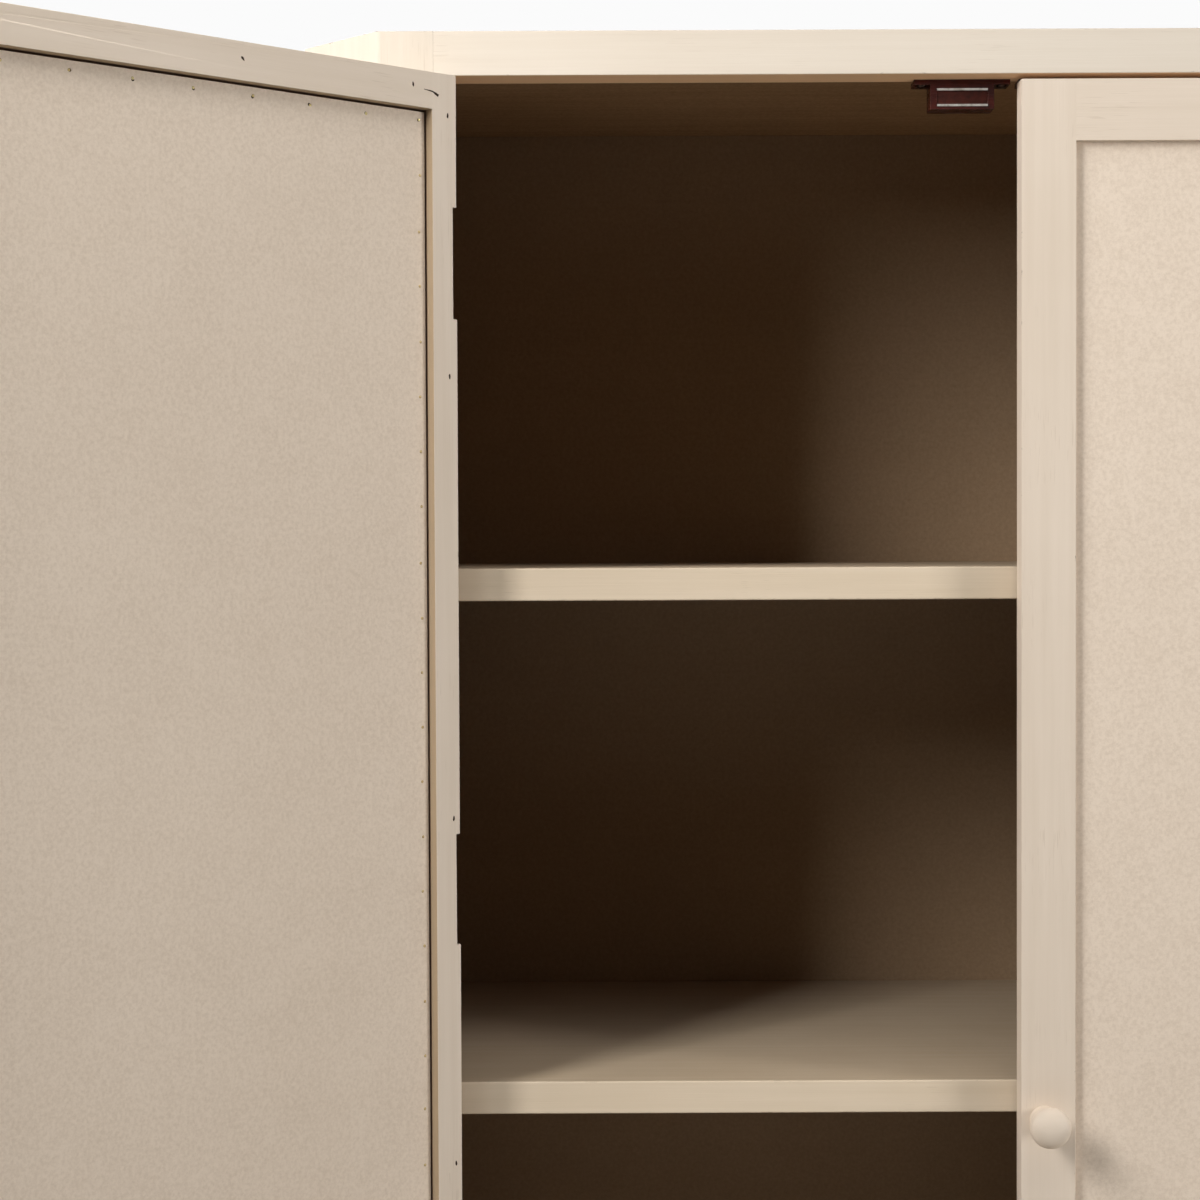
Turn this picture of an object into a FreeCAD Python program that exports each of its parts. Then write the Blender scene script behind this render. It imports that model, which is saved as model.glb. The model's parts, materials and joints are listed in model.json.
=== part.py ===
import FreeCAD, Part
import os
import Sketcher

# A step back cupboard: a shallow upper case with canted front corners stands on the counter
# of a deeper lower case. Each case has a pair of inset framed doors on butt hinges.
# Frame: X to the right, Y from front to back, Z up. The origin is on the floor, under the
# middle of the lower case. The upper left door stands open, the other three are shut.

doc = FreeCAD.newDocument("StepBackCupboard")
sheet = doc.addObject("Spreadsheet::Sheet", "Sizes")

# Driving dimensions in millimetres, the one angle in degrees
sizes = [
    ("upper_height", 1000, "upper case, from counter to top"),
    ("upper_depth", 337, "upper case, front to back"),
    ("lower_depth", 470, "lower case, front to back"),
    ("counter_height", 890, "floor to the counter's top"),
    ("counter_thickness", 25, "counter board"),
    ("counter_overhang", 15, "counter past the lower case at the front and the ends"),
    ("kick_height", 85, "kick board under the lower doors"),
    ("rail_height", 26, "case rails above and below the doors"),
    ("frame_thickness", 24, "case posts, rails and kick board"),
    ("post_face", 33, "front face of a corner post"),
    ("cant", 48, "canted corner, along the front and along the side"),
    ("board_thickness", 19, "case sides and floors"),
    ("back_thickness", 4, "back panels"),
    ("top_panel_thickness", 3.2, "panel that closes the top"),
    ("shelf_thickness", 19.5, "shelves"),
    ("shelf_setback", 20, "front of the case to the upper shelves"),
    ("lower_shelf_setback", 70, "front of the case to the lower shelf"),
    ("shelf_clearance", 0.5, "shelf to side or post"),
    ("low_shelf_rise", 378.5, "counter to the top of the low shelf"),
    ("high_shelf_rise", 686, "counter to the top of the high shelf"),
    ("lower_shelf_rise", 375, "lower floor to the top of its shelf"),
    ("bearer_size", 19, "square section of a shelf bearer"),
    ("bearer_inset", 12, "bearer short of the shelf's depth at each end"),
    ("middle_bearer_width", 38, "bearer on the floor under the lower case"),
    ("door_width", 340, "each door"),
    ("door_thickness", 15, "each door"),
    ("door_gap", 3.2, "door to the rail above and below it"),
    ("hinge_gap", 1.5, "door to its post"),
    ("meeting_gap", 2, "between the two doors of a pair"),
    ("rest_opening", 139, "degrees that the upper left door stands open"),
    ("stile_width", 32, "door stile on the front"),
    ("door_rail_width", 36, "door rail on the front"),
    ("rabbet_width", 15, "seat of the door panel on stiles and rails"),
    ("panel_recess", 6, "door panel below the frame's inner face"),
    ("panel_thickness", 4.5, "door panel"),
    ("panel_gap", 1.2, "door panel to the rabbet's wall"),
    ("hinge_length", 63.5, "butt hinge"),
    ("hinge_inset", 108, "door end to the middle of its nearest hinge"),
    ("leaf_thickness", 1.6, "hinge leaf"),
    ("leaf_width", 15, "pin to the far edge of a leaf"),
    ("knuckle_radius", 3, "hinge knuckle"),
    ("knuckle_clearance", 0.3, "knuckle to the other leaf and to the next knuckle"),
    ("pin_radius", 1.5, "hinge pin"),
    ("pin_clearance", 0.05, "pin to the knuckles that turn on it"),
    ("pin_overhang", 1, "pin past each end of the hinge"),
    ("pin_stand", 2.6, "pin in front of the doors"),
    ("mortise_depth", 2.6, "hinge mortise in the door's edge"),
    ("mortise_clearance", 0.5, "mortise past each end of the hinge"),
    ("screw_radius", 1.4, "screw shank"),
    ("screw_head_radius", 2.8, "countersunk head"),
    ("screw_head_depth", 1.4, "countersunk head"),
    ("screw_length", 11, "screw with its head"),
    ("hinge_screw_spacing", 36, "between the two screws of a leaf"),
    ("catch_length", 57, "catch housing over its ears"),
    ("catch_body_length", 38, "catch housing between its ears"),
    ("catch_height", 17.5, "catch housing"),
    ("catch_depth", 15, "catch housing, front to back"),
    ("catch_ear_thickness", 3, "ears of the catch housing"),
    ("catch_screw_setback", 4, "catch front to its screws"),
    ("catch_offset", 31, "meeting line to the middle of a catch"),
    ("catch_gap", 0.3, "pole plates to a shut door's strike plate"),
    ("pole_length", 30, "pole plate"),
    ("pole_thickness", 1.3, "pole plate"),
    ("pole_depth", 12, "pole plate, front to back"),
    ("pole_stand", 0.6, "pole plate proud of the housing"),
    ("magnet_height", 8, "magnet between the pole plates"),
    ("magnet_setback", 1.2, "housing front to the magnet"),
    ("catch_cover", 1.6, "housing under the lower pole plate"),
    ("strike_margin", 6, "strike plate past its screws at each end"),
    ("strike_height", 12, "strike plate"),
    ("strike_thickness", 1, "strike plate"),
    ("strike_drop", 0.6, "door top to the strike plate"),
    ("strike_screw_spacing", 22, "between the strike plate's screws"),
    ("knob_inset", 13.5, "meeting edge to the middle of the knob"),
    ("knob_radius", 12, "knob head"),
    ("knob_head_thickness", 15, "knob head"),
    ("knob_projection", 27, "door front to the knob's end"),
    ("knob_neck_radius", 6, "knob neck under the head"),
    ("knob_foot_radius", 8.5, "knob neck on the door"),
    ("spigot_radius", 3, "knob spigot in the stile"),
    ("spigot_length", 10, "knob spigot in the stile"),
    ("upper_knob_rise", 330, "upper door's bottom to its knob"),
    ("lower_knob_rise", 560, "lower door's bottom to its knob"),
]
for row, (alias, number, meaning) in enumerate(sizes, 1):
    sheet.set(f"A{row}", meaning)
    sheet.set(f"B{row}", str(number))
    sheet.setAlias(f"B{row}", alias)
doc.recompute()

# Places that several pieces share, as formulas on the sheet
half_opening = "(Sizes.door_width + Sizes.hinge_gap + Sizes.meeting_gap / 2)"
post_reach = "(Sizes.post_face + Sizes.cant)"
half_width = f"({half_opening} + {post_reach})"
half_inside = f"({half_width} - Sizes.board_thickness)"
back_plane = "(Sizes.lower_depth / 2)"
lower_front = "(-Sizes.lower_depth / 2)"
upper_front = "(Sizes.lower_depth / 2 - Sizes.upper_depth)"
counter_under = "(Sizes.counter_height - Sizes.counter_thickness)"
case_top = "(Sizes.counter_height + Sizes.upper_height)"
upper_door_bottom = "(Sizes.counter_height + Sizes.rail_height + Sizes.door_gap)"
upper_door_height = "(Sizes.upper_height - 2 * Sizes.rail_height - 2 * Sizes.door_gap)"
lower_door_bottom = "(Sizes.kick_height + Sizes.door_gap)"
lower_door_top = f"({counter_under} - Sizes.rail_height - Sizes.door_gap)"
lower_door_height = f"({lower_door_top} - {lower_door_bottom})"
half_spread = "((Sizes.hinge_gap + Sizes.mortise_depth) / 2)"
knuckle_room = "(Sizes.knuckle_radius + Sizes.knuckle_clearance)"
leaf_middle = f"(({knuckle_room} + Sizes.leaf_width) / 2)"
catch_setback = "(Sizes.door_thickness + Sizes.strike_thickness + Sizes.catch_gap + Sizes.pole_stand)"
pole_spacing = "(Sizes.magnet_height + Sizes.pole_thickness)"

no_turn = "rotation(vector(0; 0; 1); 0)"
upside_down = "rotation(vector(0; 1; 0); 180)"
towards_left = "rotation(vector(0; 1; 0); 90)"
towards_right = "rotation(vector(0; 1; 0); -90)"
towards_front = "rotation(vector(1; 0; 0); 90)"
towards_back = "rotation(vector(1; 0; 0); -90)"

left = 1
right = -1
nodes = []


def spot(x, y, z, turn=no_turn):
    return f"placement(vector({x}; {y}; {z}); {turn})"


def place(piece, where):
    piece.setExpression("Placement", where)


def bind(piece, **formulas):
    for size, formula in formulas.items():
        piece.setExpression(size, formula)
    return piece


def keep(piece, label):
    piece.Label = label
    nodes.append(piece)
    return piece


def box(name, x, y, z, length, width, height):
    piece = doc.addObject("Part::Box", name)
    bind(piece, Length=length, Width=width, Height=height)
    place(piece, spot(x, y, z))
    return piece


def rod(name, radius, height, where):
    piece = bind(doc.addObject("Part::Cylinder", name), Radius=radius, Height=height)
    place(piece, where)
    return piece


def join(name, pieces):
    whole = doc.addObject("Part::MultiFuse", name)
    whole.Shapes = pieces
    whole.Refine = True
    return whole


def cut(name, base, tool):
    rest = doc.addObject("Part::Cut", name)
    rest.Base = base
    rest.Tool = tool
    return rest


def group(name, pieces):
    together = doc.addObject("Part::Compound", name)
    together.Links = pieces
    return together


def copies(name, master, places):
    links = []
    for number, where in enumerate(places, 1):
        link = doc.addObject("App::Link", f"{name}_{number}")
        link.setLink(master)
        link.LinkTransform = True
        place(link, where)
        links.append(link)
    return links


# A board sawn to an outline. The outline is drawn from its own corner, so no point is negative.
def outlined_board(name, points, thickness, where):
    body = doc.addObject("PartDesign::Body", name)
    plane = next(item for item in body.Origin.OriginFeatures if item.Role == "XY_Plane")
    outline = body.newObject("Sketcher::SketchObject", f"{name}_outline")
    outline.AttachmentSupport = (plane, [""])
    outline.MapMode = "FlatFace"
    corners = []
    for x, y in points:
        corners.append(FreeCAD.Vector(sheet.evalExpression(x), sheet.evalExpression(y), 0))
    count = len(corners)
    for index in range(count):
        outline.addGeometry(Part.LineSegment(corners[index], corners[(index + 1) % count]), False)
    for index in range(count):
        outline.addConstraint(Sketcher.Constraint("Coincident", index, 2, (index + 1) % count, 1))
    for index, (x, y) in enumerate(points):
        for kind, axis, formula in (("DistanceX", -2, x), ("DistanceY", -1, y)):
            if formula == "0":
                outline.addConstraint(Sketcher.Constraint("PointOnObject", index, 1, axis))
                continue
            number = sheet.evalExpression(formula)
            line = outline.addConstraint(Sketcher.Constraint(kind, -1, 1, index, 1, number))
            outline.setExpression(f"Constraints[{line}]", formula)
    pad = body.newObject("PartDesign::Pad", f"{name}_pad")
    pad.Profile = outline
    bind(pad, Length=thickness)
    place(body, where)
    return body


# Where the back of a corner post bends from its front member to its cant
inner_bend = "(Sizes.post_face - Sizes.frame_thickness * (sqrt(2) - 1))"


# A corner post: a front face, a 45 degree cant and the same wood thickness behind both
def corner_post(name, hand, front, bottom, height):
    points = [
        ("0", "0"),
        ("Sizes.post_face", "0"),
        (post_reach, "Sizes.cant"),
        (f"{inner_bend} + Sizes.cant - Sizes.frame_thickness", "Sizes.cant"),
        (inner_bend, "Sizes.frame_thickness"),
        ("0", "Sizes.frame_thickness"),
    ]
    if hand == right:
        where = spot(half_opening, front, bottom)
    else:
        where = spot(f"-{half_opening}", front, f"{bottom} + {height}", upside_down)
    return outlined_board(name, points, height, where)


# A board cut round the posts: square to stand between them, or canted to lie close behind them
def fitted_board(name, front, setback, half_span, back, top, thickness, canted):
    neck = f"(Sizes.cant + Sizes.shelf_clearance - {setback})"
    if canted:
        notch = f"({half_span} - {half_opening} - {inner_bend} + Sizes.shelf_clearance)"
        notch_end = f"({notch} - {neck})"
    else:
        notch = f"({half_span} - {half_opening} + Sizes.shelf_clearance)"
        notch_end = notch
    span = f"(2 * {half_span})"
    reach = f"({back} - {front} - {setback})"
    points = [
        (notch, "0"),
        (f"{span} - {notch}", "0"),
        (f"{span} - {notch_end}", neck),
        (span, neck),
        (span, reach),
        ("0", reach),
        ("0", neck),
        (notch_end, neck),
    ]
    where = spot(f"-{half_span}", f"{front} + {setback}", f"{top} - {thickness}")
    return outlined_board(name, points, thickness, where)


# One countersunk screw, its head's face at the origin and its shank pointing down
screw_head = doc.addObject("Part::Cone", "screw_head")
bind(screw_head, Radius1="Sizes.screw_radius", Radius2="Sizes.screw_head_radius")
bind(screw_head, Height="Sizes.screw_head_depth")
place(screw_head, spot("0", "0", "-Sizes.screw_head_depth"))
shank_length = "(Sizes.screw_length - Sizes.screw_head_depth)"
screw_shank = rod("screw_shank", "Sizes.screw_radius", shank_length, spot("0", "0", "-Sizes.screw_length"))
screw = join("screw", [screw_head, screw_shank])

# One butt hinge about its pin, with the case leaf on the left and the door leaf on the right
hinge_bottom = "(-Sizes.hinge_length / 2)"
knuckle_count = 5
knuckle_pitch = f"(Sizes.hinge_length / {knuckle_count})"
knuckle_length = f"({knuckle_pitch} - Sizes.knuckle_clearance)"
case_leaf_face = f"(Sizes.leaf_thickness - {half_spread})"
door_leaf_face = f"({half_spread} - Sizes.leaf_thickness)"
screw_heights = ["-Sizes.hinge_screw_spacing / 2", "Sizes.hinge_screw_spacing / 2"]
case_leaf_screws = [spot(case_leaf_face, leaf_middle, z, towards_left) for z in screw_heights]
door_leaf_screws = [spot(door_leaf_face, leaf_middle, z, towards_right) for z in screw_heights]


def hinge_leaf(name, edge, knuckles, bore, screws):
    plate_width = f"Sizes.leaf_width - {knuckle_room}"
    plate = box(f"{name}_plate", edge, knuckle_room, hinge_bottom,
                "Sizes.leaf_thickness", plate_width, "Sizes.hinge_length")
    pieces = [plate]
    for number in knuckles:
        low = f"{hinge_bottom} + {number} * {knuckle_pitch} + Sizes.knuckle_clearance / 2"
        pieces.append(box(f"{name}_tongue_{number}", edge, "0", low,
                          "Sizes.leaf_thickness", knuckle_room, knuckle_length))
        pieces.append(rod(f"{name}_knuckle_{number}", "Sizes.knuckle_radius", knuckle_length,
                          spot("0", "0", low)))
    blank = join(f"{name}_blank", pieces)
    hole = rod(f"{name}_bore", bore, "Sizes.hinge_length", spot("0", "0", hinge_bottom))
    bored = cut(f"{name}_bored", blank, hole)
    return cut(name, bored, group(f"{name}_holes", copies(f"{name}_hole", screw, screws)))


turning_bore = "Sizes.pin_radius + Sizes.pin_clearance"
case_leaf = hinge_leaf("case_leaf", f"-{half_spread}", (0, 2, 4), "Sizes.pin_radius", case_leaf_screws)
door_leaf = hinge_leaf("door_leaf", door_leaf_face, (1, 3), turning_bore, door_leaf_screws)
pin_length = "Sizes.hinge_length + 2 * Sizes.pin_overhang"
pin_bottom = f"{hinge_bottom} - Sizes.pin_overhang"
hinge_pin = rod("hinge_pin", "Sizes.pin_radius", pin_length, spot("0", "0", pin_bottom))


def pin_x(hand):
    if hand == left:
        return f"({half_spread} - {half_opening})"
    return f"({half_opening} - {half_spread})"


def hinge_spot(hand, x, y, z):
    return spot(x, y, z, no_turn if hand == left else upside_down)


def hinge_rises(height, count):
    rises = []
    for number in range(count):
        rises.append(f"(Sizes.hinge_inset + {number} * ({height} - 2 * Sizes.hinge_inset) / {count - 1})")
    return rises


upper_hinges = hinge_rises(upper_door_height, 3)
lower_hinges = hinge_rises(lower_door_height, 2)
hinge_places = []
for hand in (left, right):
    for rise in upper_hinges:
        where = (pin_x(hand), f"{upper_front} - Sizes.pin_stand", f"{upper_door_bottom} + {rise}")
        hinge_places.append(hinge_spot(hand, *where))
    for rise in lower_hinges:
        where = (pin_x(hand), f"{lower_front} - Sizes.pin_stand", f"{lower_door_bottom} + {rise}")
        hinge_places.append(hinge_spot(hand, *where))

# Magnetic catches under the rails above the doors, one for each door
catch_places = []
upper_rail_under = f"({case_top} - Sizes.rail_height)"
lower_rail_under = f"({counter_under} - Sizes.rail_height)"
for front, under in ((upper_front, upper_rail_under), (lower_front, lower_rail_under)):
    for hand in (left, right):
        middle = f"{-hand} * Sizes.catch_offset"
        catch_places.append(spot(middle, f"{front} + {catch_setback}", under))

# The lower pole plate lies above the housing's bottom cover, the upper one above the magnet
pole_low = "(Sizes.catch_cover - Sizes.catch_height)"
pole_bed = "(Sizes.pole_depth - Sizes.pole_stand)"
magnet_low = f"({pole_low} + Sizes.pole_thickness)"
magnet_depth = f"({pole_bed} - Sizes.magnet_setback)"
ears = box("catch_ears", "-Sizes.catch_length / 2", "0", "-Sizes.catch_ear_thickness",
           "Sizes.catch_length", "Sizes.catch_depth", "Sizes.catch_ear_thickness")
catch_body = box("catch_body", "-Sizes.catch_body_length / 2", "0", "-Sizes.catch_height",
                 "Sizes.catch_body_length", "Sizes.catch_depth", "Sizes.catch_height")
cavity_height = f"{pole_spacing} + Sizes.pole_thickness"
cavity = box("catch_cavity", "-Sizes.pole_length / 2", "0", pole_low,
             "Sizes.pole_length", pole_bed, cavity_height)
ear_middle = "(Sizes.catch_length + Sizes.catch_body_length) / 4"
ear_screws = []
for side in (-1, 1):
    ear_screws.append(spot(f"{side} * {ear_middle}", "Sizes.catch_screw_setback",
                           "-Sizes.catch_ear_thickness", upside_down))
hollow_catch = cut("hollow_catch", join("catch_blank", [ears, catch_body]), cavity)
ear_holes = group("catch_ear_holes", copies("catch_ear_hole", screw, ear_screws))
catch_housing = cut("catch_housing", hollow_catch, ear_holes)
pole_plates = []
for number, low in enumerate((pole_low, f"{pole_low} + {pole_spacing}"), 1):
    pole_plates.append(box(f"pole_plate_{number}", "-Sizes.pole_length / 2", "-Sizes.pole_stand", low,
                           "Sizes.pole_length", "Sizes.pole_depth", "Sizes.pole_thickness"))
pole_pair = group("pole_pair", pole_plates)
catch_magnet = box("catch_magnet", "-Sizes.pole_length / 2", "Sizes.magnet_setback", magnet_low,
                   "Sizes.pole_length", magnet_depth, "Sizes.magnet_height")

case_screw_places = []
for hinge in hinge_places:
    for local in case_leaf_screws:
        case_screw_places.append(f"{hinge} * {local}")
for catch in catch_places:
    for local in ear_screws:
        case_screw_places.append(f"{catch} * {local}")
case_screws = keep(group("case_screws", copies("case_screw", screw, case_screw_places)), "case_screws")
for label, master, places in (
    ("hinge_case_leaves", case_leaf, hinge_places),
    ("hinge_pins", hinge_pin, hinge_places),
    ("catch_housings", catch_housing, catch_places),
    ("catch_pole_plates", pole_pair, catch_places),
    ("catch_magnets", catch_magnet, catch_places),
):
    keep(group(label, copies(f"{label}_copy", master, places)), label)

# Front frames of both cases: corner posts with the rails between them, drilled for their screws
frame_members = []
upper_post_height = "Sizes.upper_height"
for side, hand in (("left", left), ("right", right)):
    upper_post = corner_post(f"upper_{side}_post_blank", hand, upper_front,
                             "Sizes.counter_height", upper_post_height)
    lower_post = corner_post(f"lower_{side}_post_blank", hand, lower_front, "0", counter_under)
    frame_members.append((f"upper_{side}_post", upper_post))
    frame_members.append((f"lower_{side}_post", lower_post))
for label, front, under in (
    ("upper_top_rail", upper_front, upper_rail_under),
    ("lower_top_rail", lower_front, lower_rail_under),
):
    rail = box(f"{label}_blank", f"-{half_opening}", front, under,
               f"2 * {half_opening}", "Sizes.frame_thickness", "Sizes.rail_height")
    frame_members.append((label, rail))
for label, blank in frame_members:
    keep(cut(label, blank, case_screws), label)
for label, front, bottom, height in (
    ("upper_bottom_rail", upper_front, "Sizes.counter_height", "Sizes.rail_height"),
    ("lower_kick_board", lower_front, "0", "Sizes.kick_height"),
):
    rail = box(label, f"-{half_opening}", front, bottom,
               f"2 * {half_opening}", "Sizes.frame_thickness", height)
    keep(rail, label)

# Sides and backs: the backs are nailed on behind the sides
panel_front = f"({back_plane} - Sizes.back_thickness)"
upper_side_height = "(Sizes.upper_height - Sizes.top_panel_thickness)"
for case, front, bottom, height in (
    ("upper", upper_front, "Sizes.counter_height", upper_side_height),
    ("lower", lower_front, "0", counter_under),
):
    side_depth = f"{panel_front} - {front} - Sizes.cant"
    for side, x in (("left", f"-{half_width}"), ("right", half_inside)):
        label = f"{case}_{side}_side"
        board = box(label, x, f"{front} + Sizes.cant", bottom, "Sizes.board_thickness", side_depth, height)
        keep(board, label)
    label = f"{case}_back_panel"
    panel = box(label, f"-{half_width}", panel_front, bottom,
                f"2 * {half_width}", "Sizes.back_thickness", height)
    keep(panel, label)

# Top panel, floors and shelves
shelf_half = f"({half_inside} - Sizes.shelf_clearance)"
upper_floor_top = "(Sizes.counter_height + Sizes.board_thickness)"
low_shelf_top = "(Sizes.counter_height + Sizes.low_shelf_rise)"
high_shelf_top = "(Sizes.counter_height + Sizes.high_shelf_rise)"
lower_shelf_top = "(Sizes.kick_height + Sizes.lower_shelf_rise)"
behind_frame = "Sizes.frame_thickness"
for label, front, setback, half_span, back, top, thickness, canted in (
    ("upper_top_panel", upper_front, behind_frame, half_width, back_plane,
     case_top, "Sizes.top_panel_thickness", True),
    ("upper_high_shelf", upper_front, "Sizes.shelf_setback", shelf_half, panel_front,
     high_shelf_top, "Sizes.shelf_thickness", False),
    ("upper_low_shelf", upper_front, "Sizes.shelf_setback", shelf_half, panel_front,
     low_shelf_top, "Sizes.shelf_thickness", False),
    ("upper_floor", upper_front, behind_frame, shelf_half, panel_front,
     upper_floor_top, "Sizes.board_thickness", True),
    ("lower_floor", lower_front, behind_frame, shelf_half, panel_front,
     "Sizes.kick_height", "Sizes.board_thickness", True),
):
    keep(fitted_board(label, front, setback, half_span, back, top, thickness, canted), label)
lower_shelf_front = f"{lower_front} + Sizes.lower_shelf_setback"
lower_shelf = box("lower_shelf", f"-{shelf_half}", lower_shelf_front,
                  f"{lower_shelf_top} - Sizes.shelf_thickness",
                  f"2 * {shelf_half}", f"{panel_front} - ({lower_shelf_front})", "Sizes.shelf_thickness")
keep(lower_shelf, "lower_shelf")

# Bearers carry the shelves and the lower floor at both ends, and one carries that floor's middle
bearers = []
lower_floor_under = "(Sizes.kick_height - Sizes.board_thickness)"
for name, front, carried in (
    ("high_shelf", f"{upper_front} + Sizes.cant", f"{high_shelf_top} - Sizes.shelf_thickness"),
    ("low_shelf", f"{upper_front} + Sizes.cant", f"{low_shelf_top} - Sizes.shelf_thickness"),
    ("lower_shelf", lower_shelf_front, f"{lower_shelf_top} - Sizes.shelf_thickness"),
    ("lower_floor", f"{lower_front} + Sizes.cant", lower_floor_under),
):
    bearer_length = f"{panel_front} - ({front}) - 2 * Sizes.bearer_inset"
    for side, x in (("left", f"-{half_inside}"), ("right", f"{half_inside} - Sizes.bearer_size")):
        bearers.append(box(f"{name}_{side}_bearer", x, f"{front} + Sizes.bearer_inset",
                           f"{carried} - Sizes.bearer_size", "Sizes.bearer_size", bearer_length,
                           "Sizes.bearer_size"))
middle_front = f"({lower_front} + Sizes.frame_thickness)"
bearers.append(box("middle_bearer", "-Sizes.middle_bearer_width / 2", middle_front, "0",
                   "Sizes.middle_bearer_width", f"{panel_front} - {middle_front}", lower_floor_under))
keep(group("shelf_bearers", bearers), "shelf_bearers")

# The counter follows the case's outline, so its own cant is longer by the overhang's share
counter_half = f"({half_width} + Sizes.counter_overhang)"
counter_span = f"(2 * {counter_half})"
counter_depth = "(Sizes.lower_depth + Sizes.counter_overhang)"
counter_cant = "(Sizes.cant + Sizes.counter_overhang * (2 - sqrt(2)))"
counter_points = [
    (counter_cant, "0"),
    (f"{counter_span} - {counter_cant}", "0"),
    (counter_span, counter_cant),
    (counter_span, counter_depth),
    ("0", counter_depth),
    ("0", counter_cant),
]
counter_corner = spot(f"-{counter_half}", f"{lower_front} - Sizes.counter_overhang", counter_under)
counter = outlined_board("counter_top", counter_points, "Sizes.counter_thickness", counter_corner)
keep(counter, "counter_top")

# Doors are built about their own hinge pin, from the door's bottom edge, and then hung
door_edge = f"(Sizes.hinge_gap - {half_spread})"
lip_thickness = "(Sizes.door_thickness - Sizes.panel_recess - Sizes.panel_thickness)"
back_layer = "(Sizes.panel_recess + Sizes.panel_thickness)"
door_front = "Sizes.pin_stand"
seat_plane = f"(Sizes.pin_stand + {lip_thickness})"
inner_face = "(Sizes.pin_stand + Sizes.door_thickness)"
stile_reveal = "(Sizes.stile_width - Sizes.rabbet_width)"
rail_reveal = "(Sizes.door_rail_width - Sizes.rabbet_width)"


# A formula's place along the door, mirrored for a door that hangs on the right
def across(hand, start, length="0"):
    if hand == left:
        return f"({door_edge} + {start})"
    return f"(-({door_edge} + {start}) - ({length}))"


# Stiles and rails have a full width lip in front and a narrower layer behind it
def rabbeted(name, hand, start, low, front_size, back_size, back_start, back_low):
    lip = box(f"{name}_lip", across(hand, start, front_size[0]), door_front, low,
              front_size[0], lip_thickness, front_size[1])
    behind = box(f"{name}_behind", across(hand, back_start, back_size[0]), seat_plane, back_low,
                 back_size[0], back_layer, back_size[1])
    return join(f"{name}_blank", [lip, behind])


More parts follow.
